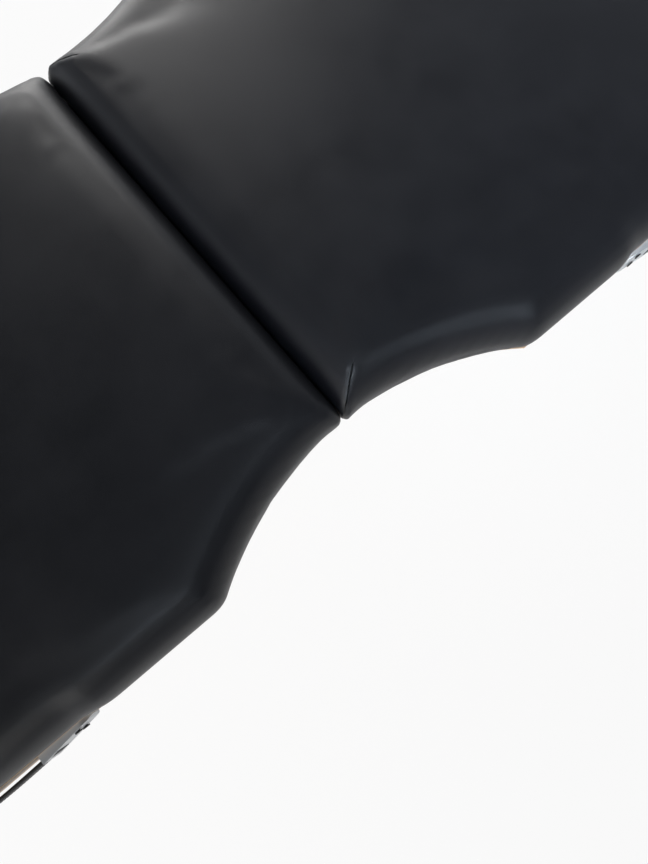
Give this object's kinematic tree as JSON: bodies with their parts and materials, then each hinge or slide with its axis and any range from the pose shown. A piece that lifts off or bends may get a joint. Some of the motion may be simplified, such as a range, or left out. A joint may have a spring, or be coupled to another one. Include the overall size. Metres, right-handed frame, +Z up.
{
  "type": "portable massage table",
  "caption": "Folding two-section massage table with black padded top, hourglass waist, wooden frame, folding legs of adjustable height and carry handles.",
  "frame": {"origin": "on the floor under the middle of the table, where the fold line crosses the table's length", "axes": "+X along the table towards the right section, +Y away from the side with the carry handles, +Z up"},
  "size_m": [1.851, 0.704, 0.6039],
  "materials": {
    "upholstery": "smooth black artificial leather, soft sheen, fine pore grain",
    "foam": "open-cell foam, hidden under the skin",
    "plywood": "thin plywood, clear matt",
    "beech": "oiled beech with fine flecks, satin",
    "zinc_steel": "bright zinc-plated steel",
    "silver_caps": "satin silver cast end caps",
    "dark_screws": "blackened cross-head screws",
    "strap": "black stitched carry strap",
    "knob_plastic": "black moulded hand knob",
    "foot_rubber": "black moulded rubber boot"
  },
  "bodies": {
    "left_section": {"left_cover": "upholstery", "left_foam": "foam", "left_deck": "plywood", "left_front_rail": "beech", "left_back_rail": "beech", "left_end_rail": "beech", "left_centre_rail": "beech", "left_hinge_brackets": "zinc_steel", "left_hinge_bolts": "zinc_steel", "left_handle_caps": "silver_caps", "left_handle_screws": "dark_screws", "left_handle_strap": "strap", "left_fold_leaves": "zinc_steel", "left_stay_hook_front": "zinc_steel", "left_stay_hook_back": "zinc_steel", "fold_pins": "zinc_steel", "latch_bases": "zinc_steel"},
    "right_section": {"right_cover": "upholstery", "right_foam": "foam", "right_deck": "plywood", "right_front_rail": "beech", "right_back_rail": "beech", "right_end_rail": "beech", "right_centre_rail": "beech", "right_hinge_brackets": "zinc_steel", "right_hinge_bolts": "zinc_steel", "right_handle_caps": "silver_caps", "right_handle_screws": "dark_screws", "right_handle_strap": "strap", "right_fold_leaves": "zinc_steel", "right_stay_hook_front": "zinc_steel", "right_stay_hook_back": "zinc_steel", "latch_keepers": "zinc_steel"},
    "left_leg_frame": {"left_leg_crossbar": "beech", "left_upper_leg_front": "beech", "left_upper_leg_back": "beech", "left_clamp_bolts": "zinc_steel"},
    "left_stays": {"left_stay_front": "zinc_steel", "left_stay_back": "zinc_steel"},
    "left_lower_leg_front": {"left_lower_leg_front": "beech", "left_foot_front": "foot_rubber"},
    "left_knob_front": {"left_knob_front": "knob_plastic"},
    "left_lower_leg_back": {"left_lower_leg_back": "beech", "left_foot_back": "foot_rubber"},
    "left_knob_back": {"left_knob_back": "knob_plastic"},
    "right_leg_frame": {"right_leg_crossbar": "beech", "right_upper_leg_front": "beech", "right_upper_leg_back": "beech", "right_clamp_bolts": "zinc_steel"},
    "right_stays": {"right_stay_front": "zinc_steel", "right_stay_back": "zinc_steel"},
    "right_lower_leg_front": {"right_lower_leg_front": "beech", "right_foot_front": "foot_rubber"},
    "right_knob_front": {"right_knob_front": "knob_plastic"},
    "right_lower_leg_back": {"right_lower_leg_back": "beech", "right_foot_back": "foot_rubber"},
    "right_knob_back": {"right_knob_back": "knob_plastic"},
    "latch_hook_front": {"latch_hook_front": "zinc_steel"},
    "latch_hook_back": {"latch_hook_back": "zinc_steel"}
  },
  "joints": [
    {"name": "table_fold", "type": "hinge", "parent": "left_section", "child": "right_section", "pos_m": [0, 0, 0.47484], "axis": [0, 1, 0], "range_deg": [0, 180]},
    {"name": "left_leg_fold", "type": "hinge", "parent": "left_section", "child": "left_leg_frame", "pos_m": [-0.815, 0, 0.52484], "axis": [0, -1, 0], "range_deg": [0, 98]},
    {"name": "left_stay_fold", "type": "hinge", "parent": "left_leg_frame", "child": "left_stays", "pos_m": [-0.84979, 0, 0.27727], "axis": [0, 1, 0], "range_deg": [0, 132.69]},
    {"name": "left_front_leg_slide", "type": "slide", "parent": "left_leg_frame", "child": "left_lower_leg_front", "axis": [-0.1392, 0, -0.9903], "range_m": [0, 0.14]},
    {"name": "left_front_knob_turn", "type": "hinge", "parent": "left_leg_frame", "child": "left_knob_front", "pos_m": [-0.9075, -0.187, 0.15411], "axis": [-0.9903, 0, 0.1392], "continuous": true},
    {"name": "left_back_leg_slide", "type": "slide", "parent": "left_leg_frame", "child": "left_lower_leg_back", "axis": [-0.1392, 0, -0.9903], "range_m": [0, 0.14]},
    {"name": "left_back_knob_turn", "type": "hinge", "parent": "left_leg_frame", "child": "left_knob_back", "pos_m": [-0.9075, 0.187, 0.15411], "axis": [-0.9903, 0, 0.1392], "continuous": true},
    {"name": "right_leg_fold", "type": "hinge", "parent": "right_section", "child": "right_leg_frame", "pos_m": [0.815, 0, 0.52484], "axis": [0, 1, 0], "range_deg": [0, 98]},
    {"name": "right_stay_fold", "type": "hinge", "parent": "right_leg_frame", "child": "right_stays", "pos_m": [0.84979, 0, 0.27727], "axis": [0, -1, 0], "range_deg": [0, 132.69]},
    {"name": "right_front_leg_slide", "type": "slide", "parent": "right_leg_frame", "child": "right_lower_leg_front", "axis": [0.1392, 0, -0.9903], "range_m": [0, 0.14]},
    {"name": "right_front_knob_turn", "type": "hinge", "parent": "right_leg_frame", "child": "right_knob_front", "pos_m": [0.9075, -0.243, 0.15411], "axis": [0.9903, 0, 0.1392], "continuous": true},
    {"name": "right_back_leg_slide", "type": "slide", "parent": "right_leg_frame", "child": "right_lower_leg_back", "axis": [0.1392, 0, -0.9903], "range_m": [0, 0.14]},
    {"name": "right_back_knob_turn", "type": "hinge", "parent": "right_leg_frame", "child": "right_knob_back", "pos_m": [0.9075, 0.243, 0.15411], "axis": [0.9903, 0, 0.1392], "continuous": true},
    {"name": "front_latch_turn", "type": "hinge", "parent": "left_section", "child": "latch_hook_front", "pos_m": [-0.922, -0.12, 0.51084], "axis": [-1, 0, 0], "range_deg": [0, 90]},
    {"name": "back_latch_turn", "type": "hinge", "parent": "left_section", "child": "latch_hook_back", "pos_m": [-0.922, 0.12, 0.51084], "axis": [1, 0, 0], "range_deg": [0, 90]}
  ],
  "couplings": [
    {"joint": "left_leg_fold", "follows": "table_fold", "ratio": 0.54444},
    {"joint": "left_stay_fold", "follows": "table_fold", "ratio": 0.73708},
    {"joint": "right_leg_fold", "follows": "table_fold", "ratio": 0.54444},
    {"joint": "right_stay_fold", "follows": "table_fold", "ratio": 0.73708}
  ]
}
